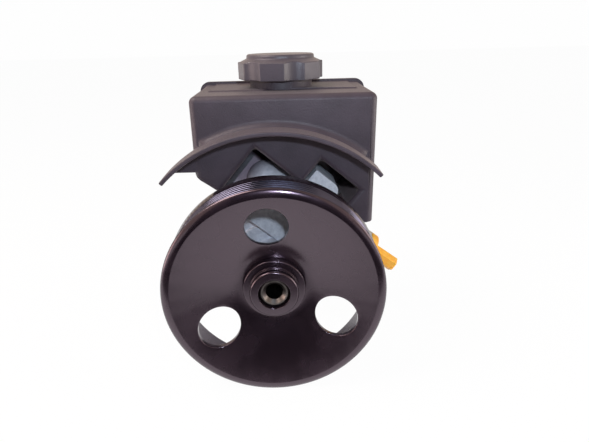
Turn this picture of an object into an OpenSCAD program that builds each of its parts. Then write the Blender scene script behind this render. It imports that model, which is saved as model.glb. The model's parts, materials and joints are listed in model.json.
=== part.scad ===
// Belt-driven vane power steering pump with a saddle reservoir, in millimetres.
// The shaft lies along Y and the pulley faces -Y. The origin is on the shaft axis, in the plane of the
// three mounting faces. The housing is turned about the shaft by tilt, so it has its own across and up
// directions, which the modules below call u and n.

/* [Pulley] */
// Radius over the pulley's flanges
pulley_r = 65.5; // [62:0.5:66]
// Width of the pulley over its rim
pulley_w = 28; // [26:0.5:32]
// Gap from the mounting faces forward to the pulley's rear edge
pulley_gap = 8; // [7:0.5:12]
// Number of belt ribs
rib_count = 5; // [4:1:5]
// Distance from one belt groove to the next
rib_pitch = 3.56; // [3.2:0.02:3.6]
// Depth of a belt groove
rib_depth = 2.6; // [2:0.1:2.8]
// Distance from the pulley's front to the first groove
front_band = 3; // [2.8:0.1:4]
// Width of the sloping flank behind the last groove
rear_flank = 3; // [1:0.25:4]
// Wall of the rim below the grooves
rim_wall = 2.8; // [2:0.1:3.5]
// Radial width of the rounded lip at the front of the rim
lip_w = 4.8; // [4:0.1:5.5]
// How far the lip curves back to the rim
lip_back = 2.1; // [1.5:0.1:2.2]
// How much deeper the web lies at the hub than at the lip
web_dish = 13.8; // [12:0.1:14.5]
// Thickness of the web
web_t = 3.2; // [2.5:0.1:4]
// Radius of the three access holes in the web
access_r = 12.5; // [10:0.1:13]
// Angle of the first access hole from +X
access_phase = 94; // [60:0.05:120]
// Radius of the hub's shoulder inside the web
hub_shoulder_r = 18.8; // [18:0.1:20]
// How far the shoulder stands in front of the web
hub_shoulder_out = 4.4; // [3:0.1:5]
// Radius of the hub's nose
hub_nose_r = 14.5; // [13.5:0.1:16]
// How far the hub's nose stands in front of the shoulder
hub_nose_out = 6.1; // [5:0.1:7]

/* [Shaft] */
// Radius of the drive shaft
shaft_r = 9.525; // [9:0.005:10]
// Radius of the tapped hole in the shaft's nose
nose_hole_r = 5.1; // [4:0.05:5.4]
// Depth of the tapped hole
nose_hole_depth = 24; // [16:1:30]
// Running clearance of the shaft in its bush
run_gap = 0.03; // [0.02:0.01:0.06]

/* [Housing] */
// Turn of the housing about the shaft
tilt = 40; // [38:0.5:42]
// Radius of the pump body
body_r = 38; // [37:0.5:40]
// Radius of the nose that holds the seal
nose_r = 20; // [19:0.5:22]
// How far the nose stands in front of the mounting faces
nose_out = 4.5; // [3:0.5:5]
// Radius of the circle of the three mounting holes
ear_circle_r = 41; // [40:0.25:42]
// Radius of a mounting ear
ear_r = 9.5; // [9:0.25:11]
// Length of a mounting ear
ear_len = 24; // [22:1:30]
// Radius of a tapped mounting hole
ear_hole_r = 3.4; // [3.3:0.05:4.2]
// Depth of a tapped mounting hole
ear_hole_depth = 12; // [10:0.5:12.5]
// Radius of the cavity that holds the pumping group
cavity_r = 31.5; // [31:0.25:32]
// Height of the lug in the reservoir's slot above the shaft
lug_top = 67; // [64:0.5:69]
// Width of that lug
lug_w = 20.5; // [18:0.5:21.5]

/* [Pumping group] */
// Thickness of the thrust plate
thrust_t = 6; // [5:0.5:8]
// Width of the cam ring
cam_w = 18; // [16:0.5:20]
// Mean radius of the cam track
cam_mean_r = 21.25; // [21:0.05:21.6]
// Rise and fall of the cam track about its mean
cam_rise = 1.25; // [1:0.05:1.5]
// Radius of the rotor
rotor_r = 19.6; // [19:0.1:19.8]
// Number of vanes
vane_count = 10; // [8:1:10]
// Thickness of a vane
vane_t = 1.6; // [1.2:0.1:2]
// Thickness of the pressure plate
plate_t = 7; // [6.5:0.5:9]
// Space for the spring behind the pressure plate
spring_space = 4; // [3.5:0.25:6]
// Thickness of the end cover
cover_t = 5.5; // [5:0.5:8]
// Wire diameter of the ring that holds the end cover
ring_wire = 2.4; // [2:0.1:2.6]

/* [Flow valve] */
// Height of the valve bore above the shaft at its domed end
valve_n = 39; // [38:0.5:40]
// Rise of the valve bore towards its port, in degrees
valve_lean = 3; // [2:0.25:4]
// Distance of the valve bore behind the mounting faces
valve_y = 24; // [23:0.5:26]
// Radius of the valve bore
valve_r = 8.5; // [8:0.1:8.8]
// Radius of the boss round the valve bore
boss_r = 12.5; // [12:0.1:13]
// Distance of the domed end from the shaft, across
boss_left = 50; // [48:0.5:51]
// Distance of the port end from the shaft, across
boss_right = 37; // [36:0.5:38]
// Length of the valve spool
spool_len = 30; // [28:0.5:32]
// Length of the flow spring as fitted
valve_spring_len = 26; // [24:0.5:27]
// Radius of the thread of the outlet fitting
fitting_r = 9.4; // [9.2:0.1:9.6]
// Length of that thread
fitting_len = 18; // [16:0.5:20]
// Radius of the outlet fitting's bore
port_r = 6; // [5:0.1:6.5]

/* [Port plug] */
// Radius of the plug's flange
plug_flange_r = 10.4; // [9.5:0.1:11]
// Thickness of the plug's flange
plug_flange_t = 6.5; // [5:0.25:7.5]
// Length of the plug's grip
plug_grip_len = 20.5; // [15:0.5:24]
// Width of the plug's six-sided grip over its corners
plug_grip_w = 10.6; // [9:0.2:12]
// Length of the plug's stem in the port
plug_stem_len = 9; // [6:0.5:10]

/* [Reservoir] */
// Left side of the reservoir at its top
tank_left = -45.7; // [-47:0.1:-45]
// Right side of the reservoir at its top
tank_right = 63.6; // [62.5:0.1:65]
// Top face of the reservoir
tank_top = 109.7; // [106:0.1:112]
// Front face of the reservoir behind the mounting faces
tank_front = 2; // [1:0.25:3]
// Plane where the two shells are welded
tank_seam = 70; // [68:0.5:74]
// Rear face of the reservoir
tank_rear = 92; // [88:0.5:100]
// Wall of the reservoir
tank_wall = 2.6; // [2.2:0.1:3]
// Radius of the reservoir's outer edges
tank_round = 4; // [3.4:0.1:5]
// How far the weld flange stands proud
flange_out = 2.5; // [1.5:0.1:3.5]
// Thickness of the weld flange on each shell
flange_t = 2; // [1.5:0.1:2.5]
// Height of the saddle's roof over the valve's domed end
saddle_n = 54.7; // [54:0.1:56]
// Height of the saddle's roof over the lug
slot_n = 74; // [72:0.1:74.5]
// Distance of the slot's rear wall behind the mounting faces
pocket_y = 56; // [55:0.5:60]
// Radius of the filler neck
neck_r = 20; // [19:0.1:20.4]
// Filler neck's position across
neck_x = 8; // [4:0.1:12]
// Filler neck's position behind the mounting faces
neck_y = 45; // [42:0.5:46]

/* [Belt guard] */
// Inner radius of the guard
guard_r = 87.5; // [86:0.5:88.5]
// Thickness of the guard
guard_t = 2.5; // [2:0.1:3]
// How far the guard reaches in front of the reservoir
guard_out = 18.5; // [14:0.5:20]

/* [Cap] */
// Radius over the cap's grip
cap_r = 27.1; // [26.4:0.1:28]
// Height of the grip
cap_grip_h = 10.5; // [9:0.25:12]
// Height of the bare neck below the cap
cap_lift = 5.8; // [5:0.1:7]
// Radius of the disc on top of the cap
cap_disc_r = 21.5; // [20:0.1:23]
// Height of the bevel and disc above the grip
cap_disc_h = 4.5; // [4:0.25:5.5]
// Number of grip flutes round the cap
cap_flutes = 6; // [5:1:7]
// Depth of a grip flute
cap_flute_depth = 2.6; // [1.5:0.1:3]
// Depth of the flats between the flutes
cap_flat = 0.9; // [0.4:0.1:1.2]
// Length of the dipstick below the cap
dipstick_len = 30; // [20:1:32]

/* [Hidden] */
$fn = 64;
eps = 0.01;
fit_gap = 0.05;
vane_names = [for (i = [1 : 10]) str("vane_", i)];

// Colours of the materials
black_paint = "#463d42";
steel = "#b9bcc2";
bright_steel = "#d3d5d8";
cast_aluminium = "#9aa2ae";
black_plastic = "#4d474e";
rubber = "#26262a";
bronze = "#a8834f";
orange_plastic = "#f5a91f";

// Pulley, along the shaft
pulley_rear_y = -pulley_gap;
pulley_front_y = pulley_rear_y - pulley_w;
rib_start_y = pulley_front_y + front_band;
rib_end_y = rib_start_y + rib_count * rib_pitch;
rib_crest_r = pulley_r - 0.8;
rib_root_r = rib_crest_r - rib_depth;
rim_inner_r = rib_root_r - rim_wall;
lip_inner_r = pulley_r - lip_w;
web_hub_y = pulley_front_y + web_dish;
access_circle_r = ear_circle_r;
hub_step_y = web_hub_y - hub_shoulder_out;
hub_front_y = hub_step_y - hub_nose_out;
hub_rear_y = -nose_out - 1.5;
hub_groove_w = 2.4;
hub_groove_depth = 1.6;

// Pumping group, along the shaft
cavity_y = valve_y + valve_r + 1.5;
cam_y = cavity_y + thrust_t;
plate_y = cam_y + cam_w;
spring_y = plate_y + plate_t;
cover_y = spring_y + spring_space;
cover_rear_y = cover_y + cover_t;
body_rear_y = cover_rear_y + ring_wire + 1.6;
body_front_y = 8;
front_recess_y = 5;
front_pad_left = 40;
front_pad_right = 27;
front_pad_n = 17.1;
seal_r = nose_r - 4;
seal_len = 7;
bush_r = shaft_r + 3;
seal_rear_y = seal_len - nose_out;
shaft_front_y = hub_front_y + 2;
shaft_step_y = cavity_y;
plate_r = cavity_r - 0.1;
cam_outer_r = cavity_r - 2;
plate_bore_r = 10.6;
plate_bore_depth = 4.5;
shaft_rear_y = plate_y + plate_bore_depth - 0.7;
rotor_side_gap = 0.05;
spline_root_r = 7.2;
spline_tip_r = 8;
spline_teeth = 8;
spline_tooth_w = 2.6;
vane_inner_r = 12;
vane_slot_gap = 0.05;
snap_groove_r = spline_root_r - 0.6;
snap_ring_t = 1.2;
snap_ring_y = plate_y + 0.1;
cam_low_r = cam_mean_r - cam_rise;
cam_band = cam_outer_r - cam_low_r;
pin_r = 0.263 * cam_band;
pin_circle_r = cam_low_r + 0.59 * cam_band;
pin_turn = tilt;
o_ring_wire_r = 1.3;
cover_o_ring_y = cover_y + 0.45 * cover_t;
plate_o_ring_y = plate_y + 0.65 * plate_t;
o_ring_centre_r = cavity_r - fit_gap - o_ring_wire_r;
o_ring_groove_r = o_ring_centre_r - o_ring_wire_r;

// Flow valve, across the housing
fitting_seat_u = boss_right - fitting_len;
spool_right_u = fitting_seat_u - 0.5;
spool_left_u = spool_right_u - spool_len;
valve_floor_u = spool_left_u - valve_spring_len;
collar_t = 6.5;
collar_r = fitting_r + 1.3;
collar_right_u = boss_right + collar_t;
valve_wire_r = 0.9;
valve_coils = 7;
plate_wire_r = 0.8;
plate_coils = 2;

// Reservoir saddle in the housing's own directions
leg_n = 19;
saddle_left_u = -58;
slot_left_u = -22;
slot_right_u = 9;
right_n = 59.5;
rear_n = 42;
leg_low_z = 29.9;
tank_low_z = 16;
tank_left_low = tank_left;
tank_right_low = tank_right - 0.8;
rear_step = 0.3;
far = 160;
neck_bore_r = neck_r - 3.4;
neck_top_z = tank_top + 12;
pad_step = 0.8;
pad_front_y = 26;
pad_inset = 9;

// Suction spigot between the reservoir and the housing
suction_u = -32.2;
suction_y = 45;
spigot_r = 7.5;
spigot_bore_r = 5;
spigot_len = 10;
suction_boss_r = 11;
suction_top_n = saddle_n - 4.7;
suction_wire_r = 1.1;
suction_ring_r = spigot_r - suction_wire_r + fit_gap;

// Clips that hold the reservoir on the housing
clip_t = 1.2;
clip_leg = 5.5;
left_clip_front_y = 28;
left_clip_rear_y = 52;
left_clip_low_n = 12;
left_clip_high_n = 47;
right_clip_front_y = 32;
right_clip_rear_y = 52;
right_clip_low_n = 52;
right_clip_high_n = 61;

// Lug in the reservoir's slot
lug_left_u = -19.5;
lug_front_y = 6;
lug_rear_y = 30;
lug_round = 6;

// Return hose nipple on the rear shell
nipple_x = 40;
nipple_z = 78;
nipple_r = 5.5;
nipple_bore_r = 3.5;
nipple_len = 22;

// Belt guard
guard_x = 1.3;
guard_z = 2;
guard_right_a = 45;
guard_left_a = 136;
guard_front_y = tank_front - guard_out;
guard_root = 4;
guard_root_right_a = 52;
guard_root_left_a = 117;
gusset_low_z = 65.4;
gusset_w = 15;

// Small rib on the reservoir's left side
side_rib_out = 1.2;
side_rib_front_y = 22;
side_rib_rear_y = 50;
side_rib_low_z = 78;
side_rib_high_z = 91;

// Cap
cap_low_z = tank_top + cap_lift;
cap_grip_z = cap_low_z + cap_grip_h;
cap_top_z = cap_grip_z + cap_disc_h;
cap_bore_r = neck_r + 0.6;
seal_t = 1.6;
seal_top_z = neck_top_z + seal_t;
dipstick_r = 2.5;

// Extrudes a profile drawn in X and Z from the plane y0 back to the plane y1.
module slab(y0, y1) {
    translate([0, y1, 0])
        rotate([90, 0, 0])
            linear_extrude(y1 - y0) children();
}

// Turns a profile drawn as radius and Y about the shaft axis.
module turned(angle = 360) {
    rotate([-90, 0, 0])
        rotate_extrude(angle = angle) children();
}

// A rod along the shaft from the plane y0 back to the plane y1.
module rod(r, y0, y1) {
    translate([0, y0, 0])
        rotate([-90, 0, 0])
            cylinder(r = r, h = y1 - y0);
}

// Puts its children in the housing's own directions: X is u, Z is n.
module housing_frame() {
    rotate([0, tilt, 0]) children();
}

// Puts its children on the flow valve's axis, with Z along u.
module on_valve_axis() {
    pivot_u = boss_r - boss_left;
    housing_frame()
        translate([pivot_u, valve_y, valve_n])
            rotate([0, 90 - valve_lean, 0])
                translate([0, 0, -pivot_u]) children();
}

// Puts its children on the suction spigot's axis, with Z along n.
module on_suction_axis() {
    housing_frame()
        translate([suction_u, suction_y, 0]) children();
}

// A block in the housing's own directions.
module block(u0, u1, y0, y1, n0, n1) {
    translate([u0, y0, n0]) cube([u1 - u0, y1 - y0, n1 - n0]);
}

// A ring of round wire about the Z axis.
module wire_ring(r, wire_r, angle = 360) {
    rotate_extrude(angle = angle)
        translate([r, 0]) circle(wire_r, $fn = 24);
}

// Point on a coil spring's wire: the wire's own angle b at the coil's angle a.
function coil_point(r, wire_r, rise, turns, a, b) = [
    (r + wire_r * cos(b)) * cos(a),
    (r + wire_r * cos(b)) * sin(a),
    wire_r * sin(b) + rise * a / (360 * turns)];

// A coil spring from Z 0 to its full length.
module coil(r, wire_r, len, turns, steps = 24, sides = 8) {
    rise = len - 2 * wire_r;
    rings = steps * turns;
    points = [for (i = [0 : rings], j = [0 : sides - 1])
        coil_point(r, wire_r, rise, turns, 360 * i / steps, 360 * j / sides)];
    walls = [for (i = [0 : rings - 1], j = [0 : sides - 1])
        [i * sides + j, (i + 1) * sides + j,
         (i + 1) * sides + (j + 1) % sides, i * sides + (j + 1) % sides]];
    first = [for (j = [0 : sides - 1]) j];
    last = [for (j = [sides - 1 : -1 : 0]) rings * sides + j];
    translate([0, 0, wire_r])
        polyhedron(points, concat([first], walls, [last]), convexity = 10);
}

// Pulley and shaft

// Belt grooves down the rim, as radius and Y.
function groove_points() = [for (i = [0 : rib_count - 1], p = [0 : 3])
    [p < 1 || p > 2 ? rib_crest_r : rib_root_r,
     rib_start_y + rib_pitch * (i + [0.1, 0.42, 0.58, 0.9][p])]];

// Depth of the dished web behind the lip, from 0 at the lip to 1 at the hub: a cone with a round floor.
function dish(t) = t < 0.85 ? 1.08 * t : 0.918 + 1.08 * (t - 0.85) - 3.56 * pow(t - 0.85, 2);

// Web from the lip in to the hub, as radius and Y, set back by a thickness. The steps shorten inwards.
function web_points(back) = [for (i = [1 : 12])
    let (t = 1 - pow(1 - i / 12, 1.6))
    [lip_inner_r + (hub_shoulder_r - lip_inner_r) * t, pulley_front_y + back + web_dish * dish(t)]];

// The same points from the hub out to the lip.
function web_points_out(back) = [for (i = [11 : -1 : 0]) web_points(back)[i]];

// Rounded lip from its crest out to the rim.
function lip_points() = [for (a = [0 : 15 : 90])
    [lip_inner_r + lip_w * sin(a), pulley_front_y + lip_back * (1 - cos(a))]];

// Section of the pulley's rim and dished web.
module pulley_section() {
    polygon(concat(
        lip_points(),
        [[pulley_r, rib_start_y - 0.8], [rib_crest_r, rib_start_y]],
        groove_points(),
        [[rib_crest_r, rib_end_y], [pulley_r, rib_end_y + rear_flank], [pulley_r, pulley_rear_y - 0.5],
         [pulley_r - 0.5, pulley_rear_y], [rim_inner_r, pulley_rear_y],
         [rim_inner_r, pulley_front_y + web_t + 2.5]],
        web_points(web_t),
        web_points_out(0)));
}

module pulley_wheel() {
    color(black_paint)
        difference() {
            turned($fn = 96) pulley_section();
            for (i = [0 : 2])
                rotate([0, -access_phase - 120 * i, 0])
                    translate([access_circle_r, 0, 0])
                        rod(access_r, pulley_front_y, pulley_rear_y);
        }
}

module pulley_hub() {
    nose_mid_y = (hub_front_y + hub_step_y) / 2;
    color(black_paint)
        turned()
            polygon([
                [shaft_r, hub_front_y], [hub_nose_r - 0.8, hub_front_y], [hub_nose_r, hub_front_y + 0.8],
                [hub_nose_r, nose_mid_y - hub_groove_w / 2],
                [hub_nose_r - hub_groove_depth, nose_mid_y - hub_groove_w / 2],
                [hub_nose_r - hub_groove_depth, nose_mid_y + hub_groove_w / 2],
                [hub_nose_r, nose_mid_y + hub_groove_w / 2], [hub_nose_r, hub_step_y],
                [hub_shoulder_r - 0.6, hub_step_y], [hub_shoulder_r, hub_step_y + 0.6],
                [hub_shoulder_r, web_hub_y + web_t + 1.5], [hub_nose_r, web_hub_y + web_t + 3],
                [hub_nose_r, hub_rear_y], [shaft_r, hub_rear_y]]);
}

// Cross-section of the spline, grown by a clearance.
module spline_section(grow = 0) {
    circle(spline_root_r + grow);
    for (i = [0 : spline_teeth - 1])
        rotate(360 / spline_teeth * i)
            translate([0, -spline_tooth_w / 2 - grow])
                square([spline_tip_r + grow, spline_tooth_w + 2 * grow]);
}

module drive_shaft() {
    color(bright_steel)
        difference() {
            union() {
                turned()
                    polygon([
                        [0, shaft_front_y], [shaft_r - 1.6, shaft_front_y], [shaft_r, shaft_front_y + 1.6],
                        [shaft_r, shaft_step_y], [0, shaft_step_y]]);
                slab(shaft_step_y - eps, shaft_rear_y) spline_section();
            }
            rod(nose_hole_r, shaft_front_y - 1, shaft_front_y + nose_hole_depth);
            turned()
                polygon([
                    [0, shaft_front_y - 1], [nose_hole_r + 3, shaft_front_y - 1],
                    [nose_hole_r + 2, shaft_front_y], [0, shaft_front_y + nose_hole_r + 2]]);
            turned()
                translate([snap_groove_r, snap_ring_y - fit_gap])
                    square([5, snap_ring_t + 2 * fit_gap]);
        }
}

// Slot of one vane, from near the shaft out past the rotor's rim.
module vane_slot() {
    translate([vane_inner_r - 1, -vane_t / 2 - vane_slot_gap])
        square([rotor_r, vane_t + 2 * vane_slot_gap]);
}

module rotor() {
    color(steel)
        slab(cam_y + rotor_side_gap, plate_y - rotor_side_gap)
            difference() {
                circle(rotor_r);
                spline_section(fit_gap);
                for (i = [0 : vane_count - 1])
                    rotate(360 / vane_count * (i + 0.5)) vane_slot();
            }
}

module vane(i) {
    if (i <= vane_count)
        color(bright_steel)
            slab(cam_y + rotor_side_gap, plate_y - rotor_side_gap)
                rotate(360 / vane_count * (i - 0.5))
                    intersection() {
                        translate([vane_inner_r - 1, -vane_t / 2]) square([rotor_r, vane_t]);
                        circle(rotor_r - 0.05);
                    }
}

module rotor_snap_ring() {
    color(steel)
        translate([0, snap_ring_y, 0])
            turned(angle = 330)
                translate([snap_groove_r + fit_gap, 0]) square([3, snap_ring_t]);
}

// Housing and pumping group

// One mounting ear, with the arm that ties it to the body.
module ear(a) {
    rotate([0, -a, 0]) {
        translate([ear_circle_r, 0, 0]) rod(ear_r, 0, ear_len);
        block(0, ear_circle_r, body_front_y, ear_len - 2, 2 - ear_r, ear_r - 2);
    }
}

// Rounded block that stands in the reservoir's slot.
module lug() {
    right_u = lug_left_u + lug_w;
    translate([0, lug_rear_y, 0])
        rotate([90, 0, 0])
            linear_extrude(lug_rear_y - lug_front_y)
                union() {
                    translate([lug_left_u, valve_n]) square([lug_w, lug_top - lug_round - valve_n]);
                    translate([lug_left_u, valve_n]) square([lug_w - lug_round, lug_top - valve_n]);
                    translate([right_u - lug_round, lug_top - lug_round]) circle(lug_round);
                }
}

// Valve boss along its own axis, with a domed blind end.
module valve_boss() {
    rotate_extrude()
        translate([0, -boss_left])
            intersection() {
                square([boss_r, boss_left + boss_right]);
                union() {
                    translate([0, boss_r]) circle(boss_r);
                    translate([0, boss_r]) square([boss_r, boss_left + boss_right]);
                }
            }
}

// The casting before its bores are machined.
module housing_casting() {
    rod(nose_r, -nose_out, body_front_y + 4);
    rod(body_r - 8, front_recess_y, body_front_y + 4);
    rod(body_r, body_front_y, body_rear_y);
    for (i = [0 : 2]) ear(90 - tilt + 120 * i);
    on_valve_axis() valve_boss();
    housing_frame() {
        block(-boss_left + boss_r + 3, boss_right - 6, valve_y - 6, valve_y + 9, 0, valve_n - 1);
        block(-front_pad_left, front_pad_right, 0, body_front_y + 4, front_pad_n, ear_circle_r - 6);
        block(saddle_left_u + clip_t, suction_u, left_clip_front_y + clip_t, left_clip_rear_y - clip_t,
              left_clip_low_n, left_clip_high_n);
        block(lug_left_u + 5, slot_right_u - clip_t, right_clip_front_y + clip_t,
              right_clip_rear_y - clip_t, 0, right_clip_high_n);
        lug();
    }
    on_suction_axis() cylinder(r = suction_boss_r, h = suction_top_n);
}

module housing() {
    color(cast_aluminium)
        difference() {
            housing_casting();
            rod(seal_r, -nose_out - 1, seal_rear_y);
            rod(bush_r, seal_rear_y - 1, cavity_y + 1);
            rod(cavity_r, cavity_y, body_rear_y + 1);
            turned()
                translate([cavity_r - 1, cover_rear_y]) square([1 + ring_wire / 2, ring_wire + 0.1]);
            for (i = [0 : 2])
                rotate([0, tilt - 90 - 120 * i, 0])
                    translate([ear_circle_r, 0, 0]) rod(ear_hole_r, -1, ear_hole_depth);
            on_valve_axis() {
                translate([0, 0, valve_floor_u]) cylinder(r = valve_r, h = boss_right - valve_floor_u + 1);
                translate([0, 0, fitting_seat_u]) cylinder(r = fitting_r, h = fitting_len + 1);
            }
            on_suction_axis() {
                translate([0, 0, suction_top_n - spigot_len - 1])
                    cylinder(r = spigot_r + fit_gap, h = spigot_len + 2);
                cylinder(r = spigot_bore_r, h = suction_top_n);
            }
        }
}

module shaft_seal() {
    color(rubber)
        turned()
            polygon([
                [seal_r, -nose_out], [seal_r, seal_rear_y], [seal_r - 1.5, seal_rear_y],
                [seal_r - 1.5, 2 - nose_out], [shaft_r + 2, 2 - nose_out],
                [shaft_r + 1.6, seal_rear_y - 1], [shaft_r + fit_gap, seal_rear_y - 2],
                [shaft_r + 0.6, 1 - nose_out], [shaft_r + 0.6, -nose_out]]);
}

module front_bush() {
    color(bronze)
        turned()
            translate([shaft_r + run_gap, seal_rear_y])
                square([bush_r - shaft_r - run_gap, cavity_y - seal_rear_y]);
}

// Holes for the two dowel pins.
module pin_holes() {
    for (i = [0 : 1])
        rotate(180 * i + 90 - pin_turn)
            translate([pin_circle_r, 0]) circle(pin_r + fit_gap);
}

// One pair of kidney ports, each a turn of span degrees.
module kidney_ports(y0, y1, turn, span) {
    for (i = [0 : 1])
        translate([0, y0, 0])
            rotate([0, turn + 180 * i, 0])
                turned(angle = span)
                    translate([cam_mean_r - 2.8, 0]) square([3.4, y1 - y0]);
}

module thrust_plate() {
    color(steel)
        difference() {
            slab(cavity_y, cam_y)
                difference() {
                    circle(plate_r);
                    circle(shaft_r + 0.5);
                    pin_holes();
                }
            kidney_ports(cam_y - 2, cam_y + 1, 10, 50);
        }
}

// Cam track: two rises and two falls in a turn.
function cam_point(a) = (cam_mean_r + cam_rise * cos(2 * (a - 90 + pin_turn) + 180)) * [cos(a), sin(a)];

module cam_ring() {
    color(steel)
        slab(cam_y, plate_y)
            difference() {
                circle(cam_outer_r);
                polygon([for (a = [0 : 5 : 355]) cam_point(a)]);
                pin_holes();
            }
}

module dowel_pin(i) {
    color(bright_steel)
        rotate([0, pin_turn - 90 + 180 * i, 0])
            translate([pin_circle_r, 0, 0]) rod(pin_r, cavity_y + 0.1, spring_y - 0.5);
}

module pressure_plate() {
    color(steel)
        difference() {
            slab(plate_y, spring_y)
                difference() {
                    circle(plate_r);
                    pin_holes();
                }
            rod(plate_bore_r, plate_y - 1, plate_y + plate_bore_depth);
            kidney_ports(plate_y - 1, spring_y + 1, 100, 50);
            o_ring_groove(plate_o_ring_y);
        }
}

// Groove for an O-ring round a plate.
module o_ring_groove(y) {
    turned()
        translate([o_ring_groove_r, y - o_ring_wire_r])
            square([5, 2 * o_ring_wire_r]);
}

module o_ring(y) {
    color(rubber)
        translate([0, y, 0])
            rotate([-90, 0, 0]) wire_ring(o_ring_centre_r, o_ring_wire_r - 0.02);
}

module pressure_plate_spring() {
    color(steel)
        translate([0, spring_y, 0])
            rotate([-90, 0, 0]) coil(0.51 * plate_r, plate_wire_r, spring_space, plate_coils, steps = 40);
}

module end_cover() {
    color(steel)
        difference() {
            turned()
                polygon([
                    [0, cover_y], [plate_r, cover_y], [plate_r, cover_rear_y - 1.5],
                    [plate_r - 1.5, cover_rear_y], [0.45 * plate_r, cover_rear_y], [0.38 * plate_r, cover_rear_y + 1.5],
                    [0, cover_rear_y + 1.5]]);
            o_ring_groove(cover_o_ring_y);
        }
}

module end_cover_ring() {
    color(steel)
        translate([0, cover_rear_y + ring_wire / 2, 0])
            rotate([-90, 0, 0]) wire_ring(cavity_r - fit_gap, ring_wire / 2 - 0.02, angle = 345);
}

// Flow valve and port

module valve_spool() {
    color(bright_steel)
        on_valve_axis()
            difference() {
                rotate_extrude()
                    polygon([
                        [0, spool_left_u], [valve_r - run_gap, spool_left_u],
                        [valve_r - run_gap, spool_left_u + 0.27 * spool_len],
                        [valve_r - 2.2, spool_left_u + 0.27 * spool_len],
                        [valve_r - 2.2, spool_right_u - 0.4 * spool_len],
                        [valve_r - run_gap, spool_right_u - 0.4 * spool_len],
                        [valve_r - run_gap, spool_right_u - 2], [valve_r - 3, spool_right_u],
                        [0, spool_right_u]]);
                translate([0, 0, spool_left_u - 1]) cylinder(r = valve_r - 4.2, h = 7);
            }
}

module valve_spring() {
    color(steel)
        on_valve_axis()
            translate([0, 0, valve_floor_u + fit_gap])
                coil(valve_r - valve_wire_r - 0.6, valve_wire_r, valve_spring_len - 2 * fit_gap, valve_coils);
}

module outlet_fitting() {
    color(steel)
        on_valve_axis()
            difference() {
                union() {
                    translate([0, 0, fitting_seat_u])
                        cylinder(r = fitting_r - fit_gap, h = fitting_len);
                    translate([0, 0, boss_right]) cylinder(r = collar_r, h = collar_t, $fn = 6);
                }
                translate([0, 0, collar_right_u - plug_stem_len - 2])
                    cylinder(r = port_r, h = plug_stem_len + 3);
                translate([0, 0, fitting_seat_u - 1]) cylinder(r = 3, h = fitting_len + 2);
                translate([0, 0, fitting_seat_u + fitting_len / 6])
                    rotate_extrude()
                        translate([fitting_r - 1.8, 0]) square([3, 2.2]);
            }
}

module outlet_o_ring() {
    color(rubber)
        on_valve_axis()
            translate([0, 0, fitting_seat_u + fitting_len / 6 + 1.1]) wire_ring(fitting_r - 0.9, 0.85);
}

module port_plug() {
    flange_u = collar_right_u + plug_flange_t;
    color(orange_plastic)
        on_valve_axis() {
            rotate_extrude()
                polygon([
                    [0, collar_right_u - plug_stem_len], [port_r - 0.8, collar_right_u - plug_stem_len],
                    [port_r - fit_gap, collar_right_u - plug_stem_len + 2], [port_r - fit_gap, collar_right_u],
                    [plug_flange_r - 0.6, collar_right_u], [plug_flange_r, collar_right_u + 0.6],
                    [plug_flange_r, flange_u - 1.2], [plug_flange_r - 1.2, flange_u], [0, flange_u]]);
            translate([0, 0, flange_u - 1]) cylinder(r = plug_grip_w / 2, h = plug_grip_len + 1, $fn = 6);
        }
}

// Reservoir

// Space kept free for the housing in front of the slot's rear wall, as a profile in X and Z, grown by a wall.
module saddle(grow = 0) {
    roof_n = right_n + grow;
    leg_u = (roof_n * cos(tilt) - leg_low_z - grow) / sin(tilt);
    rotate(-tilt)
        polygon([
            [-far, -far], [-far, leg_n + grow], [saddle_left_u - grow, leg_n + grow],
            [saddle_left_u - grow, saddle_n + grow], [slot_left_u - grow, saddle_n + grow],
            [slot_left_u - grow, slot_n + grow], [slot_right_u + grow, slot_n + grow],
            [slot_right_u + grow, roof_n], [leg_u, roof_n],
            [leg_u + far * cos(tilt), roof_n + far * sin(tilt)], [3 * far, -far]]);
}

// The lower space kept free behind the slot's rear wall.
module rear_saddle(grow = 0) {
    g = grow - rear_step;
    rotate(-tilt)
        polygon([
            [-far, -far], [-far, leg_n + g], [saddle_left_u - g, leg_n + g],
            [saddle_left_u - g, saddle_n + g], [slot_left_u + g, saddle_n + g],
            [slot_left_u + g, rear_n + g], [far, rear_n + g], [far, -far]]);
}

// Inside of the reservoir's wall, as a profile in X and Z, inset a little more by a step.
module tank_outline_inside(step = 0) {
    w = tank_wall + step;
    polygon([
        [tank_left + w, tank_top - w], [tank_right - w, tank_top - w],
        [tank_right_low - w, tank_low_z + step], [tank_left_low + w, tank_low_z + step]]);
}

// Oil space in front of the slot's rear wall.
module front_inside() {
    difference() {
        tank_outline_inside(rear_step);
        saddle(tank_wall);
    }
}

// Oil space behind it.
module rear_inside() {
    difference() {
        tank_outline_inside();
        rear_saddle(tank_wall);
    }
}

// Outline of the reservoir, grown by a flange.
module tank_outline(grow = 0) {
    r = tank_round;
    hull()
        for (p = [[tank_left + r, tank_top - r], [tank_right - r, tank_top - r],
                  [tank_left_low + r, tank_low_z], [tank_right_low - r, tank_low_z]])
            translate(p) circle(r + grow, $fn = 32);
}

// Front box of the reservoir, with round edges at the plane y0 and a flat end at the plane y1.
module front_box(y0, y1) {
    side = sign(y1 - y0);
    r = tank_round;
    hull()
        for (p = [[tank_left + r, tank_top - r], [tank_right - r, tank_top - r],
                  [tank_left_low + r, tank_low_z], [tank_right_low - r, tank_low_z]]) {
            translate([p[0], y0 + side * r, p[1]]) sphere(r, $fn = 32);
            translate([p[0], y1, p[1]])
                rotate([side * 90, 0, 0]) cylinder(r = r, h = r, $fn = 32);
        }
}

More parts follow.
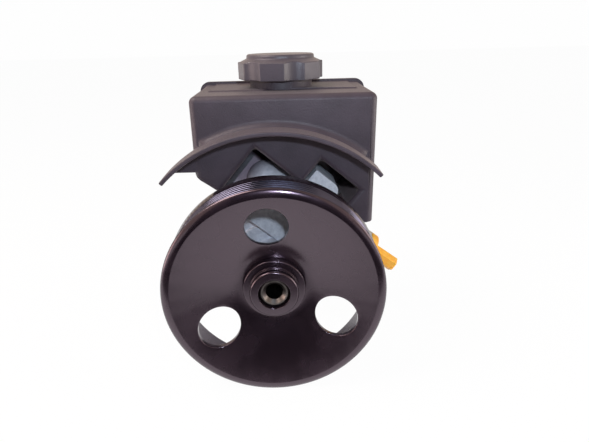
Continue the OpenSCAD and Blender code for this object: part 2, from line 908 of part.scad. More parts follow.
// Front shell: the box less its oil space, with the saddle left free.
module front_shell() {
    difference() {
        front_box(tank_front, tank_seam);
        slab(-far, pocket_y) saddle();
        slab(pocket_y - 1, far) rear_saddle();
        slab(tank_front + tank_wall, pocket_y + tank_wall + 1) front_inside();
        slab(pocket_y + tank_wall, tank_seam + 1) rear_inside();
    }
}

// Rear shell, with its weld flange on the seam.
module rear_shell() {
    difference() {
        union() {
            slab(tank_seam, tank_rear)
                difference() {
                    tank_outline();
                    rear_saddle();
                }
            slab(tank_seam, tank_seam + flange_t)
                difference() {
                    tank_outline(flange_out);
                    rear_saddle();
                }
        }
        slab(tank_seam - 1, tank_rear - tank_wall) rear_inside();
    }
}

// Weld flange of the front shell.
module weld_flange_section() {
    difference() {
        tank_outline(flange_out);
        rear_saddle();
        rear_inside();
    }
}

// Hollow fillet between the guard and the reservoir's front wall, sunk a little into both.
module root_fillet() {
    curve = [for (a = [15 : 15 : 90]) guard_root * [1 - cos(a), sin(a)]];
    sunk = 1;
    polygon(concat(
        [[-sunk, curve[0][1]]], curve,
        [[guard_root, guard_root + sunk], [-sunk, guard_root + sunk]]));
}

// Curved belt guard with its root fillet and the gusset beside the reservoir.
module belt_guard() {
    guard_outer_r = guard_r + guard_t;
    translate([guard_x, 0, guard_z]) {
        translate([0, guard_front_y, 0])
            rotate([0, -guard_right_a, 0])
                rotate([90, 0, 0])
                    mirror([0, 0, 1])
                        rotate_extrude(angle = guard_left_a - guard_right_a, $fn = 128)
                            translate([guard_r, 0]) square([guard_t, guard_out + tank_wall / 2]);
        rotate([0, -guard_root_right_a, 0])
            rotate([90, 0, 0])
                mirror([0, 0, 1])
                    rotate_extrude(angle = guard_root_left_a - guard_root_right_a, $fn = 128)
                        translate([guard_outer_r, tank_front - guard_root]) root_fillet();
    }
    slab(tank_front + 0.4, tank_front + tank_wall - 0.4)
        intersection() {
            translate([guard_x, guard_z]) circle(guard_r + 1, $fn = 128);
            translate([tank_left - gusset_w, gusset_low_z])
                square([gusset_w + tank_wall, guard_z + guard_r - gusset_low_z]);
        }
}

module reservoir_front() {
    color(black_plastic)
        difference() {
            union() {
                front_shell();
                slab(tank_seam - flange_t, tank_seam) weld_flange_section();
                belt_guard();
                translate([tank_left - side_rib_out, side_rib_front_y, side_rib_low_z])
                    cube([side_rib_out + 1, side_rib_rear_y - side_rib_front_y, side_rib_high_z - side_rib_low_z]);
                translate([tank_left + pad_inset, pad_front_y, tank_top - 1])
                    cube([tank_right - tank_left - 2 * pad_inset, tank_seam - flange_t - pad_front_y,
                          1 + pad_step]);
                translate([neck_x, neck_y, tank_top - tank_wall / 2])
                    cylinder(r = neck_r, h = neck_top_z - tank_top + tank_wall / 2);
                on_suction_axis()
                    difference() {
                        translate([0, 0, suction_top_n - spigot_len]) {
                            cylinder(r = spigot_r, h = spigot_len + 1);
                            translate([0, 0, spigot_len])
                                cylinder(r = spigot_r + 2, h = saddle_n + 1 - suction_top_n);
                        }
                        translate([0, 0, suction_top_n - spigot_len + 2.5])
                            rotate_extrude()
                                translate([suction_ring_r - suction_wire_r - 0.05, 0])
                                    square([5, 2 * suction_wire_r + 0.1]);
                    }
            }
            translate([neck_x, neck_y, tank_top - tank_wall - 1])
                cylinder(r = neck_bore_r, h = neck_top_z - tank_top + tank_wall + 2);
            on_suction_axis()
                cylinder(r = spigot_bore_r, h = saddle_n + tank_wall + 1);
        }
}

module reservoir_rear() {
    color(black_plastic)
        difference() {
            union() {
                rear_shell();
                translate([nipple_x, 0, nipple_z])
                    turned()
                        polygon([
                            [0, tank_rear - tank_wall], [nipple_r + 2.5, tank_rear - tank_wall],
                            [nipple_r + 2.5, tank_rear + 1.5], [nipple_r, tank_rear + 2.5],
                            [nipple_r, tank_rear + nipple_len - 1], [nipple_r - 1, tank_rear + nipple_len],
                            [0, tank_rear + nipple_len]]);
            }
            translate([nipple_x, 0, nipple_z])
                rod(nipple_bore_r, tank_rear - tank_wall - 1, tank_rear + nipple_len + 1);
        }
}

module suction_o_ring() {
    color(rubber)
        on_suction_axis()
            translate([0, 0, suction_top_n - spigot_len + 2.5 + suction_wire_r + 0.05])
                wire_ring(suction_ring_r - 0.03, suction_wire_r - 0.02);
}

// Folded spring-steel clip: a strip along Y with a leg turned in at each end.
module clip(wall_u, leg, y0, y1, n0, n1) {
    inward = sign(leg);
    color(bright_steel)
        housing_frame()
            translate([wall_u, 0, n0])
                linear_extrude(n1 - n0)
                    polygon([
                        [0, y0], [leg, y0], [leg, y0 + clip_t], [inward * clip_t, y0 + clip_t],
                        [inward * clip_t, y1 - clip_t], [leg, y1 - clip_t], [leg, y1], [0, y1]]);
}

module left_clip() {
    clip(saddle_left_u, clip_leg, left_clip_front_y, left_clip_rear_y, left_clip_low_n, left_clip_high_n);
}

module right_clip() {
    clip(slot_right_u, -clip_leg, right_clip_front_y, right_clip_rear_y, right_clip_low_n,
         right_clip_high_n);
}

// Cap

// Outline of the cap's grip with its flutes.
module cap_grip_section() {
    flute_r = 12;
    step = 360 / cap_flutes;
    difference() {
        intersection() {
            circle(cap_r, $fn = 96);
            rotate(-0.2 * step) circle((cap_r - cap_flat) / cos(step / 2), $fn = cap_flutes);
        }
        for (i = [0 : cap_flutes - 1])
            rotate(step * (i - 0.2))
                translate([cap_r + flute_r - cap_flute_depth, 0]) circle(flute_r);
    }
}

module cap() {
    color(black_plastic)
        translate([neck_x, neck_y, 0]) {
            difference() {
                union() {
                    translate([0, 0, cap_low_z]) linear_extrude(cap_grip_h) cap_grip_section();
                    intersection() {
                        translate([0, 0, cap_low_z])
                            linear_extrude(cap_grip_h + cap_disc_h) cap_grip_section();
                        rotate_extrude()
                            polygon([
                                [0, cap_low_z], [cap_r + 1, cap_low_z], [cap_r + 1, cap_grip_z - 1],
                                [cap_disc_r, cap_grip_z + 2], [0, cap_grip_z + 2]]);
                    }
                    rotate_extrude()
                        polygon([
                            [0, cap_grip_z], [cap_disc_r, cap_grip_z], [cap_disc_r, cap_top_z - 0.8],
                            [cap_disc_r - 0.8, cap_top_z], [0, cap_top_z]]);
                }
                translate([0, 0, cap_low_z - 1]) cylinder(r = cap_bore_r, h = seal_top_z - cap_low_z + 1);
            }
            translate([0, 0, seal_top_z - dipstick_len])
                cylinder(r = dipstick_r, h = dipstick_len + 1);
        }
}

module cap_seal() {
    color(rubber)
        translate([neck_x, neck_y, neck_top_z])
            rotate_extrude()
                translate([neck_bore_r, 0]) square([neck_r - neck_bore_r, seal_t]);
}

pulley_wheel();
pulley_hub();
drive_shaft();
rotor();
rotor_snap_ring();
for (i = [1 : 10])
    vane(i);
housing();
shaft_seal();
front_bush();
thrust_plate();
cam_ring();
dowel_pin(0);  // dowel_pin_1
dowel_pin(1);  // dowel_pin_2
pressure_plate();
o_ring(plate_o_ring_y);  // pressure_plate_o_ring
pressure_plate_spring();
end_cover();
o_ring(cover_o_ring_y);  // end_cover_o_ring
end_cover_ring();
valve_spool();
valve_spring();
outlet_fitting();
outlet_o_ring();
port_plug();
reservoir_front();
reservoir_rear();
suction_o_ring();
left_clip();
right_clip();
cap();
cap_seal();
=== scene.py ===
# %% [markdown]
# A power steering pump, seen from its pulley side: a black pulley in front, a saddle-shaped oil
# reservoir over a cast aluminium housing behind it, and an orange plug in the outlet. The solid model
# gives every piece its place, so this lesson loads it as a fixed frame and then works on the looks:
# the camera, the studio, the materials, and the pieces whose edges have to catch the light.

# %% Load the frame
import json
from math import cos, radians, sin

import bmesh
import bpy
from mathutils import Matrix, Vector


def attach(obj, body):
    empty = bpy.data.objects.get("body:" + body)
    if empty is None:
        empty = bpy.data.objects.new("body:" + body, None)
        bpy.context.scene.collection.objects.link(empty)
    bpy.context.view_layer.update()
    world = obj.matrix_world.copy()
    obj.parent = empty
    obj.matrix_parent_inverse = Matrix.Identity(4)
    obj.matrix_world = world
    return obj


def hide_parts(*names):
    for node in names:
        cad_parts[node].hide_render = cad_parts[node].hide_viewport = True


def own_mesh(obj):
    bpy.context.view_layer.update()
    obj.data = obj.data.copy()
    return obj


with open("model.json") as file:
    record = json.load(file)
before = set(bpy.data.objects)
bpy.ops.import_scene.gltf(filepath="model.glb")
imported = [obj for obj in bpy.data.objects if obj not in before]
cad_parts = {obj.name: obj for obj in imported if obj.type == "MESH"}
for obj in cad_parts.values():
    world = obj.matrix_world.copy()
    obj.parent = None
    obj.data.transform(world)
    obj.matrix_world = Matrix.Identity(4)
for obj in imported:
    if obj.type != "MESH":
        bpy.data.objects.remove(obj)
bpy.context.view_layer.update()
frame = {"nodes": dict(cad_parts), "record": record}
MM = 0.001
scene = bpy.context.scene
print("nodes loaded:", len(frame["nodes"]))

# %% [markdown]
# The camera stands about 28 cm in front of the mounting faces, a little above the cap, and looks down
# 21 degrees. A lens angle and a place that fit the pulley's ellipse, its three holes and the reservoir's
# corners together are worth more than a guess by eye, because the near pulley and the far reservoir
# then keep their proportions.

# %% Camera
CAMERA_AT = Vector((7.36, -282.56, 141.29)) * MM
YAW, PITCH, ROLL = 0.0220, -0.3654, -0.0247
LENS, SENSOR = 29.71, 36.0

forward = Vector((sin(YAW) * cos(PITCH), cos(YAW) * cos(PITCH), sin(PITCH)))
level_right = Vector((cos(YAW), -sin(YAW), 0))
level_up = level_right.cross(forward)
right = cos(ROLL) * level_right + sin(ROLL) * level_up
up = cos(ROLL) * level_up - sin(ROLL) * level_right

camera_data = bpy.data.cameras.new("camera")
camera_data.sensor_fit = "HORIZONTAL"
camera_data.sensor_width = SENSOR
camera_data.lens = LENS
camera_data.clip_start = 0.01
camera = bpy.data.objects.new("camera", camera_data)
turn = Matrix((right, up, -forward)).transposed().to_4x4()
camera.matrix_world = Matrix.Translation(CAMERA_AT) @ turn
scene.collection.objects.link(camera)
scene.camera = camera
print("camera looks along", [round(c, 3) for c in forward])

# %% [markdown]
# Every colour below is written as the sRGB hex value that a painter would pick, and one function turns
# it to the linear numbers that the shader works in. One more function adds a node with its settings and
# its inputs, where an input is either a value or the socket that feeds it. Some sockets share a name, so
# an input can also be given by its number: a colour Mix node has its two colours at 6 and 7.

# %% Colours and nodes
def linear(hex_colour):
    parts = [int(hex_colour[i:i + 2], 16) / 255 for i in (1, 3, 5)]
    return [p / 12.92 if p <= 0.04045 else ((p + 0.055) / 1.055) ** 2.4 for p in parts] + [1.0]


def add(tree, kind, inputs=None, **settings):
    node = tree.nodes.new("ShaderNode" + kind)
    for name, value in settings.items():
        setattr(node, name, value)
    for name, value in (inputs or {}).items():
        if isinstance(value, bpy.types.NodeSocket):
            tree.links.new(value, node.inputs[name])
        else:
            node.inputs[name].default_value = value
    return node


def new_material(name):
    material = bpy.data.materials.new(name)
    material.use_nodes = True
    material.node_tree.nodes.clear()
    return material, material.node_tree


print("mid grey is", [round(c, 3) for c in linear("#808080")])

# %% [markdown]
# The studio starts with a pale floor that runs to the horizon. A brighter lamp would make it white, but
# would wash out the object too. So the floor glows white only for the rays that see it directly, from
# the lens or by way of a glossy face, and a small share of plain white paper keeps the shadow.

# %% Floor
FLOOR_Z = -65.5 * MM
FLOOR_HALF = 6.0
FLOOR_WHITE_SHARE = 0.97


def object_from(bm, name):
    mesh = bpy.data.meshes.new(name)
    bm.to_mesh(mesh)
    bm.free()
    made = bpy.data.objects.new(name, mesh)
    scene.collection.objects.link(made)
    return made


def seen_directly(tree):
    path = add(tree, "LightPath").outputs
    shiny = add(tree, "Math", {0: path["Is Camera Ray"], 1: path["Is Glossy Ray"]}, operation="MAXIMUM")
    clear = {0: shiny.outputs[0], 1: path["Is Transmission Ray"]}
    return add(tree, "Math", clear, operation="MAXIMUM").outputs[0]


bm = bmesh.new()
bmesh.ops.create_grid(bm, x_segments=1, y_segments=1, size=FLOOR_HALF)
bmesh.ops.translate(bm, verts=bm.verts, vec=(0, 0, FLOOR_Z))
floor = object_from(bm, "floor")

paper, tree = new_material("white_paper_floor")
share = add(tree, "Math", {0: seen_directly(tree), 1: FLOOR_WHITE_SHARE}, operation="MULTIPLY")
plain = add(tree, "BsdfDiffuse", {"Color": linear("#f4f3f5")})
glow = add(tree, "Emission", {"Color": linear("#ffffff"), "Strength": 1.0})
mix = add(tree, "MixShader", {0: share.outputs[0], 1: plain.outputs[0], 2: glow.outputs[0]})
add(tree, "OutputMaterial", {"Surface": mix.outputs[0]})
floor.data.materials.append(paper)
print("floor at", FLOOR_Z)

# %% [markdown]
# The surround is a tent that shows as white to the camera and lights the object at a plain level. The
# walls that glossy faces mirror are a warm tan, as in an ordinary room, and the black pulley takes its
# brownish tone from them.

# %% Surround
SURROUND_LIGHT = 0.28
world = bpy.data.worlds.new("white_tent")
world.use_nodes = True
tree = world.node_tree
tree.nodes.clear()
strength = add(tree, "MapRange", {"Value": seen_directly(tree), "To Min": SURROUND_LIGHT, "To Max": 1.0})
mirrored = add(tree, "LightPath").outputs["Is Glossy Ray"]
wall = add(tree, "Mix", {0: mirrored, 6: linear("#fefefe"), 7: linear("#d3c2b3")}, data_type="RGBA")
tent = add(tree, "Background", {"Color": wall.outputs[2], "Strength": strength.outputs[0]})
add(tree, "OutputWorld", {"Surface": tent.outputs[0]})
scene.world = world
scene.view_settings.view_transform = "Standard"
print("surround lights at", SURROUND_LIGHT)

# %% [markdown]
# The pump is lit from the camera's side. A small lamp stands above the lens and to its right, so the
# belt guard throws a narrow shadow down and left on the wall below it, and the edge of the pulley's
# upper hole throws one on the bare casting. A large soft lamp high on the left lifts the top faces, and
# a weak fill on each side keeps the flanks from going black.

# %% Lamps
PUMP_MIDDLE = Vector((0.0, 0.0, 0.03))


def soft_lamp(name, at, width, watts, colour):
    data = bpy.data.lights.new(name, "AREA")
    data.shape = "DISK"
    data.size = width
    data.energy = watts
    data.color = linear(colour)[:3]
    lamp = bpy.data.objects.new(name, data)
    aim = (PUMP_MIDDLE - Vector(at)).to_track_quat("-Z", "Y")
    lamp.matrix_world = Matrix.Translation(at) @ aim.to_matrix().to_4x4()
    scene.collection.objects.link(lamp)


beside_lens = CAMERA_AT + 42 * MM * up + 22 * MM * right
soft_lamp("lens_lamp", beside_lens, width=0.02, watts=0.44, colour="#e2efff")
soft_lamp("left_softbox", (-0.60, -0.12, 0.95), width=0.7, watts=10.0, colour="#fff1ea")
soft_lamp("left_fill", (-0.50, -0.12, 0.03), width=0.3, watts=0.8, colour="#ffe2d7")
soft_lamp("right_fill", (0.50, -0.07, 0.10), width=0.3, watts=1.1, colour="#fff6ee")

# %% [markdown]
# The white paper ends a hand's width in front of the pulley. A black sheet lies past it and hangs behind
# the lens as painted shade: it stands in for the shaded floor in front of the pulley and a dark room behind
# the lens. Only reflections see it, and it darkens the lower part of the dished, glossy pulley. Its profile
# is two edges, swept sideways by one extrude.

# %% Painted shade sheet
# Painted shade: a near-black sheet that only reflections see, in place of the shaded floor in front of the
# pulley.
PAPER_END_Y, SHADE_SHEET_Y, SHADE_SHEET_SIDE, SHADE_SHEET_TOP = -0.145, -0.6, 0.35, 1.7
SHADE_SHEET_Z = FLOOR_Z + 0.5 * MM
bm = bmesh.new()
shade_sheet_line = ((PAPER_END_Y, SHADE_SHEET_Z), (SHADE_SHEET_Y, SHADE_SHEET_Z), (SHADE_SHEET_Y, SHADE_SHEET_TOP))
sheet_verts = [bm.verts.new((-SHADE_SHEET_SIDE, y, z)) for y, z in shade_sheet_line]
sheet_edges = [bm.edges.new(pair) for pair in zip(sheet_verts, sheet_verts[1:])]
swept = bmesh.ops.extrude_edge_only(bm, edges=sheet_edges)
far_side = [v for v in swept["geom"] if isinstance(v, bmesh.types.BMVert)]
bmesh.ops.translate(bm, verts=far_side, vec=(2 * SHADE_SHEET_SIDE, 0, 0))
shade_sheet = object_from(bm, "painted_shade_sheet")
shade_sheet.visible_camera = False
shade_sheet.visible_diffuse = False
shade_sheet.visible_shadow = False

shade_sheet_look, tree = new_material("painted_shade_sheet")
# The near-black colour is painted shade for the pulley's reflections.
shade_sheet_shader = add(tree, "BsdfDiffuse", {"Color": linear("#0e0d0e")})
add(tree, "OutputMaterial", {"Surface": shade_sheet_shader.outputs[0]})
shade_sheet.data.materials.append(shade_sheet_look)
print("cloth faces:", len(shade_sheet.data.polygons))

# %% [markdown]
# The reservoir and the cap are glass-filled nylon, moulded in a spark-eroded tool. That gives a dull
# charcoal with a fine grain, faint clouds where the melt flowed, and soft rather than sharp highlights. A
# noise at each of the two sizes gives the clouds and the grain. The real grain is about a third of a
# millimetre, and is drawn about twice as coarse so that it shows. Fine dust lies on such plastic, and a
# weak warm sheen stands for it: it lightens the faces that are seen at a low angle.

# %% Moulded nylon
# A noise texture stays mostly between 0.3 and 0.7, so that span is stretched to the wanted range.
NOISE_SPAN = {"From Min": 0.3, "From Max": 0.7}
FLOW_CLOUD_MM = 18.0


def per_metre(size_mm):
    return 1 / (size_mm * MM)


def moulded_nylon(name, dark, light, grain_mm, dull):
    material, tree = new_material(name)
    place = add(tree, "TexCoord").outputs["Object"]
    flow = add(tree, "TexNoise", {"Vector": place, "Scale": per_metre(FLOW_CLOUD_MM), "Detail": 4.0})
    clouds = add(tree, "MapRange", {"Value": flow.outputs[0], **NOISE_SPAN})
    shade = {0: clouds.outputs[0], 6: linear(dark), 7: linear(light)}
    colour = add(tree, "Mix", shade, data_type="RGBA")
    grain = add(tree, "TexNoise", {"Vector": place, "Scale": per_metre(grain_mm), "Detail": 3.0}).outputs[0]
    matt = {"Value": grain, "To Min": dull - 0.08, "To Max": dull + 0.08, **NOISE_SPAN}
    relief = add(tree, "Bump", {"Height": grain, "Strength": 0.8, "Distance": 0.14 * MM})
    surface = add(tree, "BsdfPrincipled", {
        "Base Color": colour.outputs[2],
        "Roughness": add(tree, "MapRange", matt).outputs[0],
        "IOR": 1.53,
        "Sheen Weight": 0.17,
        "Sheen Roughness": 0.45,
        "Sheen Tint": linear("#ecd9cf"),
        "Normal": relief.outputs[0]})
    add(tree, "OutputMaterial", {"Surface": surface.outputs[0]})
    return material


reservoir_nylon = moulded_nylon("glass_filled_nylon_moulded", "#382f39", "#443a45", grain_mm=0.8, dull=0.52)
cap_nylon = moulded_nylon("glass_filled_nylon_cap", "#484149", "#514a54", grain_mm=0.6, dull=0.36)
print("nylon:", reservoir_nylon.name, cap_nylon.name)

# %% [markdown]
# The pulley is pressed and turned steel under black electrocoat, a smooth semi-gloss film. In the belt
# grooves the film is thin, and the turned steel glints through it in a dark, bluish tone. A second
# material on those faces would do, but a mask keeps the pulley one piece with one finish: the distance
# from the axis and the place along it tell the shader where the grooves are.

# %% Mask of the belt grooves
GROOVES_MID_Y, GROOVES_HALF, GROOVES_R = -24.1 * MM, 8.9 * MM, 60.7 * MM
black_coat, tree = new_material("black_electrocoat_on_steel")
place = add(tree, "TexCoord").outputs["Object"]
along_y = add(tree, "SeparateXYZ", {0: place}).outputs["Y"]
across = add(tree, "Mapping", {"Vector": place, "Scale": (1, 0, 1)}).outputs[0]
from_axis = add(tree, "VectorMath", {0: across}, operation="LENGTH").outputs["Value"]
outside = add(tree, "Math", {0: from_axis, 1: GROOVES_R}, operation="GREATER_THAN").outputs[0]
on_band = add(tree, "Math", {0: along_y, 1: GROOVES_MID_Y, 2: GROOVES_HALF}, operation="COMPARE").outputs[0]
in_grooves = add(tree, "Math", {0: outside, 1: on_band}, operation="MULTIPLY").outputs[0]
print("grooves from Y", GROOVES_MID_Y - GROOVES_HALF, "to", GROOVES_MID_Y + GROOVES_HALF)

# %% [markdown]
# The film itself mirrors the tent in a blurred way. It has a very slight orange peel, some two
# millimetres across, and broad patches where it is a little duller. A clear top layer gives the narrower
# part of its gloss, and a faint reddish tint on the specular part matches the tone of what it mirrors.

# %% Black electrocoat
PEEL_MM, PATCH_MM = 2.0, 18.0
peel = add(tree, "TexNoise", {"Vector": place, "Scale": per_metre(PEEL_MM), "Detail": 2.0})
film = add(tree, "TexNoise", {"Vector": place, "Scale": per_metre(PATCH_MM), "Detail": 2.0})
patches = add(tree, "MapRange", {"Value": film.outputs[0], **NOISE_SPAN}).outputs[0]
black = add(tree, "Mix", {0: patches, 6: linear("#171015"), 7: linear("#1d151b")}, data_type="RGBA")
thin_film = {0: in_grooves, 6: black.outputs[2], 7: linear("#605f76")}
satin = add(tree, "MapRange", {"Value": patches, "To Min": 0.23, "To Max": 0.28, **NOISE_SPAN}).outputs[0]
relief = add(tree, "Bump", {"Height": peel.outputs[0], "Strength": 0.35, "Distance": 0.02 * MM})
surface = add(tree, "BsdfPrincipled", {
    "Base Color": add(tree, "Mix", thin_film, data_type="RGBA").outputs[2],
    "Metallic": in_grooves,
    "Roughness": add(tree, "MapRange", {"Value": in_grooves, "To Min": satin, "To Max": 0.16}).outputs[0],
    "IOR": 1.72,
    "Specular Tint": linear("#ffd8f2"),
    "Coat Weight": 0.6,
    "Coat Roughness": 0.15,
    "Coat IOR": 1.52,
    "Normal": relief.outputs[0]})
add(tree, "OutputMaterial", {"Surface": surface.outputs[0]})
print("coat:", black_coat.name)

# %% [markdown]
# The housing is die-cast aluminium, left as cast: a bluish grey metal with a mottled skin and fine pits,
# which are drawn a little coarser than life so that they show. A skin of oxide dulls it, so it is only
# partly a metal to the shader. In the notch under the reservoir, the recessed face beside the round boss
# gets painted shade: a Mapping node centres a soft ball of darker colour there.

# %% Cast aluminium
PIT_MM, MOTTLE_MM = 1.1, 3.0
# Painted shade: a soft ball of darker colour in the recess beside the round boss.
SHADE_BALL_AT, SHADE_BALL_REACH = (-14.0, 30.0, 60.0), (26.0, 22.0, 20.0)
cast_aluminium, tree = new_material("die_cast_aluminium")
place = add(tree, "TexCoord").outputs["Object"]
pits = add(tree, "TexNoise", {"Vector": place, "Scale": per_metre(PIT_MM), "Detail": 4.0}).outputs[0]
skin = add(tree, "TexNoise", {"Vector": place, "Scale": per_metre(MOTTLE_MM), "Detail": 6.0})
mottle = add(tree, "MapRange", {"Value": skin.outputs[0], **NOISE_SPAN}).outputs[0]
unshaded = add(tree, "Mix", {0: mottle, 6: linear("#c0c5cf"), 7: linear("#e0e4ec")}, data_type="RGBA")
near = add(tree, "Mapping", {
    "Vector": place,
    "Location": [-at / reach for at, reach in zip(SHADE_BALL_AT, SHADE_BALL_REACH)],
    "Scale": [per_metre(reach) for reach in SHADE_BALL_REACH]})
fade = add(tree, "TexGradient", {"Vector": near.outputs[0]}, gradient_type="SPHERICAL")
painted_shade = add(tree, "MapRange", {"Value": fade.outputs[1], "From Max": 0.6}).outputs[0]
# Painted shade: inside the ball the casting's colour turns towards a darker grey-purple.
shade_mix = {0: painted_shade, 6: unshaded.outputs[2], 7: linear("#877d8a")}
rough = {"Value": pits, "To Min": 0.5, "To Max": 0.66, **NOISE_SPAN}
relief = add(tree, "Bump", {"Height": pits, "Strength": 0.6, "Distance": 0.12 * MM})
surface = add(tree, "BsdfPrincipled", {
    "Base Color": add(tree, "Mix", shade_mix, data_type="RGBA").outputs[2],
    "Metallic": 0.25,
    "Roughness": add(tree, "MapRange", rough).outputs[0],
    "Normal": relief.outputs[0]})
add(tree, "OutputMaterial", {"Surface": surface.outputs[0]})
print("casting:", cast_aluminium.name)

# %% [markdown]
# The bare steels and the bronze differ in how they were finished. Ground steel carries fine lines round
# the shaft, sintered metal is speckled, drawn wire and strip are smooth, and zinc plate is bright and a
# little cloudy. One function makes them all from the size of the specks, the range of gloss and the depth
# of the relief. The real lines and specks are a tenth of a millimetre or less, and are drawn coarser.

# %% Bare steels and bronze
EVEN, LINES_ROUND_SHAFT = (1, 1, 1), (0.2, 6.0, 0.2)


def bare_metal(name, dark, light, speck_mm, gloss, depth_mm, stretch=EVEN):
    material, tree = new_material(name)
    place = add(tree, "TexCoord").outputs["Object"]
    drawn = add(tree, "Mapping", {"Vector": place, "Scale": stretch}).outputs[0]
    specks = add(tree, "TexNoise", {"Vector": drawn, "Scale": per_metre(speck_mm), "Detail": 4.0}).outputs[0]
    tarnish = add(tree, "TexNoise", {"Vector": place, "Scale": per_metre(12 * speck_mm), "Detail": 3.0})
    clouds = add(tree, "MapRange", {"Value": tarnish.outputs[0], **NOISE_SPAN})
    shade = {0: clouds.outputs[0], 6: linear(dark), 7: linear(light)}
    blur = {"Value": specks, "To Min": gloss[0], "To Max": gloss[1], **NOISE_SPAN}
    relief = add(tree, "Bump", {"Height": specks, "Strength": 0.6, "Distance": depth_mm * MM})
    surface = add(tree, "BsdfPrincipled", {
        "Base Color": add(tree, "Mix", shade, data_type="RGBA").outputs[2],
        "Metallic": 1.0,
        "Roughness": add(tree, "MapRange", blur).outputs[0],
        "Normal": relief.outputs[0]})
    add(tree, "OutputMaterial", {"Surface": surface.outputs[0]})
    return material


ground_steel = bare_metal("ground_steel", "#6a6462", "#7b7572", 0.6, (0.24, 0.38), 0.01, LINES_ROUND_SHAFT)
sintered_steel = bare_metal("sintered_steel", "#77787a", "#8b8c8e", 0.5, (0.35, 0.55), 0.03)
drawn_wire = bare_metal("drawn_spring_wire", "#86878a", "#9a9b9e", 0.7, (0.22, 0.36), 0.01)
clip_strip = bare_metal("rolled_clip_strip", "#8d929a", "#a3a8b0", 0.9, (0.26, 0.4), 0.01)
zinc_plate = bare_metal("zinc_plated_steel", "#b0b0ac", "#c6c5c0", 0.9, (0.24, 0.4), 0.02)
bush_bronze = bare_metal("sintered_bronze", "#8d6b3c", "#a98350", 0.5, (0.32, 0.5), 0.03)
print("metals:", ground_steel.name, sintered_steel.name, zinc_plate.name, bush_bronze.name)

# %% [markdown]
# The plug is soft polyethylene dyed orange. Light goes a little way into it, red furthest, so its shaded
# side stays warm, and the mould left it waxy.

# %% Orange plug
WAX_MM = 2.5
plug_polythene, tree = new_material("dyed_polyethylene")
place = add(tree, "TexCoord").outputs["Object"]
wax = add(tree, "TexNoise", {"Vector": place, "Scale": per_metre(WAX_MM), "Detail": 3.0}).outputs[0]
streaks = add(tree, "MapRange", {"Value": wax, **NOISE_SPAN}).outputs[0]
orange = add(tree, "Mix", {0: streaks, 6: linear("#ffb02a"), 7: linear("#ffbe44")}, data_type="RGBA")
gloss = add(tree, "MapRange", {"Value": wax, "To Min": 0.34, "To Max": 0.46, **NOISE_SPAN})
relief = add(tree, "Bump", {"Height": wax, "Strength": 0.3, "Distance": 0.04 * MM})
surface = add(tree, "BsdfPrincipled", {
    "Base Color": orange.outputs[2],
    "Roughness": gloss.outputs[0],
    "IOR": 1.51,
    "Subsurface Weight": 0.25,
    "Subsurface Radius": (6.0 * MM, 3.0 * MM, 0.8 * MM),
    "Subsurface Scale": 1.0,
    "Normal": relief.outputs[0]})
add(tree, "OutputMaterial", {"Surface": surface.outputs[0]})
print("plug:", plug_polythene.name)

# %% [markdown]
# The seals are nitrile rubber: nearly black and dull, with a bloom of wax that makes them patchy.

# %% Seals
BLOOM_MM = 1.2
seal_nitrile, tree = new_material("nitrile_rubber")
place = add(tree, "TexCoord").outputs["Object"]
bloom = add(tree, "TexNoise", {"Vector": place, "Scale": per_metre(BLOOM_MM), "Detail": 4.0}).outputs[0]
patchy = add(tree, "MapRange", {"Value": bloom, **NOISE_SPAN}).outputs[0]
rubber = add(tree, "Mix", {0: patchy, 6: linear("#1c1c1e"), 7: linear("#29292c")}, data_type="RGBA")
matt = add(tree, "MapRange", {"Value": bloom, "To Min": 0.55, "To Max": 0.75, **NOISE_SPAN})
relief = add(tree, "Bump", {"Height": bloom, "Strength": 0.4, "Distance": 0.02 * MM})
surface = add(tree, "BsdfPrincipled", {
    "Base Color": rubber.outputs[2],
    "Roughness": matt.outputs[0],
    "IOR": 1.52,
    "Normal": relief.outputs[0]})
add(tree, "OutputMaterial", {"Surface": surface.outputs[0]})
print("seals:", seal_nitrile.name)

# %% [markdown]
# Each node of the frame names the slot of its finish, and each slot has one material here. The record
# also says which body a node moves with, which the finished pieces below need.

# %% Materials on the solid pieces
FINISHES = {
    "pulley_paint": black_coat, "ground_steel": ground_steel, "sintered_steel": sintered_steel,
    "spring_steel": drawn_wire, "clip_steel": clip_strip, "plated_steel": zinc_plate,
    "cast_aluminium": cast_aluminium, "seal_rubber": seal_nitrile, "bush_bronze": bush_bronze,
    "plug_plastic": plug_polythene, "reservoir_plastic": reservoir_nylon, "cap_plastic": cap_nylon,
}
record = frame["record"]
slot_of = {subpart["node"]: subpart["material_slot"] for subpart in record["subparts"]}
body_of = {node: body for body, nodes in record["behaviour"]["bodies"].items() for node in nodes}
for name, piece in frame["nodes"].items():
    piece.data.materials.clear()
    piece.data.materials.append(FINISHES[slot_of[name]])
print("finished nodes:", len(slot_of))

# %% [markdown]
# A moulded or cast edge is never sharp: its small round is what draws the bright line along it. The
# solids have plain edges, so a copy of a node is merged, its flat faces are joined, and its sharp edges
# are bevelled. The copy then stands for the node. A modifier on the node would do the same, but the
# operator shows which edges it takes.

# %% Tools for rounded edges
MERGE = 0.05 * MM


def merged_copy(node):
    bm = bmesh.new()
    bm.from_mesh(frame["nodes"][node].data)
    bmesh.ops.remove_doubles(bm, verts=bm.verts, dist=MERGE)
    bmesh.ops.dissolve_limit(bm, angle_limit=radians(0.4), verts=bm.verts, edges=bm.edges)
    bmesh.ops.dissolve_degenerate(bm, edges=bm.edges, dist=MERGE)
    return bm


def sharp_edges(bm, sharp_degrees, least_mm2=0.0):
    return [e for e in bm.edges if e.is_manifold and e.calc_face_angle() > radians(sharp_degrees)
            and min(f.calc_area() for f in e.link_faces) > least_mm2 * MM * MM]


def rounded(bm, edges, round_mm, segments=2):
    return bmesh.ops.bevel(bm, geom=edges, offset=round_mm * MM, affect="EDGES", segments=segments,
                           profile=0.5, material=-1, clamp_overlap=False)["faces"]


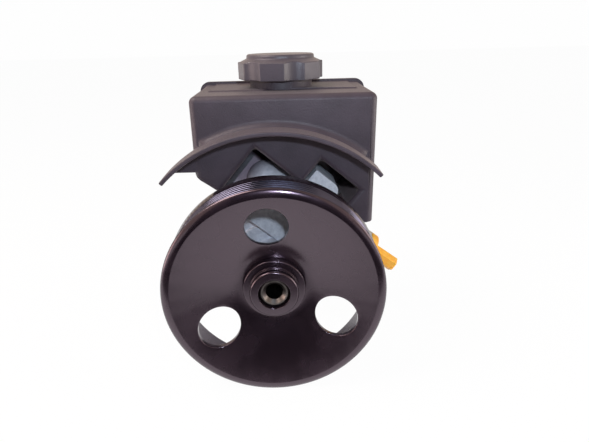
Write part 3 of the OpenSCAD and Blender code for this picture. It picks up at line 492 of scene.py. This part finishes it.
def piece_from(bm, node, smooth_degrees=35):
    piece = object_from(bm, node + "_finished")
    for polygon in piece.data.polygons:
        polygon.use_smooth = True
    piece.data.set_sharp_from_angle(angle=radians(smooth_degrees))
    even = piece.modifiers.new("even_shading", "WEIGHTED_NORMAL")
    even.keep_sharp = True
    piece.data.materials.append(FINISHES[slot_of[node]])
    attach(piece, body_of[node])
    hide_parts(node)
    print(piece.name, "faces:", len(piece.data.polygons))
    return piece


print("tools merge points within", MERGE)

# %% [markdown]
# The front shell of the reservoir is a box with a broad round where its front wall meets the top and the
# sides. Those edges lie between two large faces, one of them in the plane of the front wall, and they are
# bevelled first. The other sharp edges get the small round of the mould, except those that touch a broad
# round or a sliver of a face, where a second bevel would fold over.

# %% Reservoir front
FRONT_WALL_Y = 2.0 * MM
bm = merged_copy("reservoir_front")
broad = sharp_edges(bm, 35, least_mm2=700)
rim = [e for e in broad if min(v.co.y for v in e.verts) < FRONT_WALL_Y + 0.5 * MM]
rim_faces = set(rounded(bm, rim, round_mm=3.0, segments=4))
others = [e for e in sharp_edges(bm, 35, least_mm2=6) if not rim_faces.intersection(e.link_faces)]
rounded(bm, others, round_mm=0.7)
piece_from(bm, "reservoir_front")
print("broad rim edges:", len(rim), "others:", len(others))

# %% [markdown]
# The other pieces that show get one small round each, in millimetres, on every edge that is sharper than
# the angle beside it. The pulley's lip meets its web at a shallow angle, so its limit is lower.

# %% Other rounded pieces
EDGE_ROUNDS = {
    "reservoir_rear": (0.7, 28), "housing": (0.5, 28), "pulley_wheel": (0.4, 20), "pulley_hub": (0.3, 28),
    "cap": (0.5, 28), "port_plug": (0.4, 28), "outlet_fitting": (0.3, 28),
}
for node, (round_mm, sharp_degrees) in EDGE_ROUNDS.items():
    bm = merged_copy(node)
    rounded(bm, sharp_edges(bm, sharp_degrees), round_mm)
    piece_from(bm, node)

# %% [markdown]
# The flow-control spring sits between the spool and the blind end of its bore. When the spool slides in,
# a real coil closes up. Here a merged copy of the coil stands for the node and gets a mesh of its own; it is
# not pressed together.

# %% Flow-control spring
coil = piece_from(merged_copy("valve_spring"), "valve_spring")
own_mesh(coil)
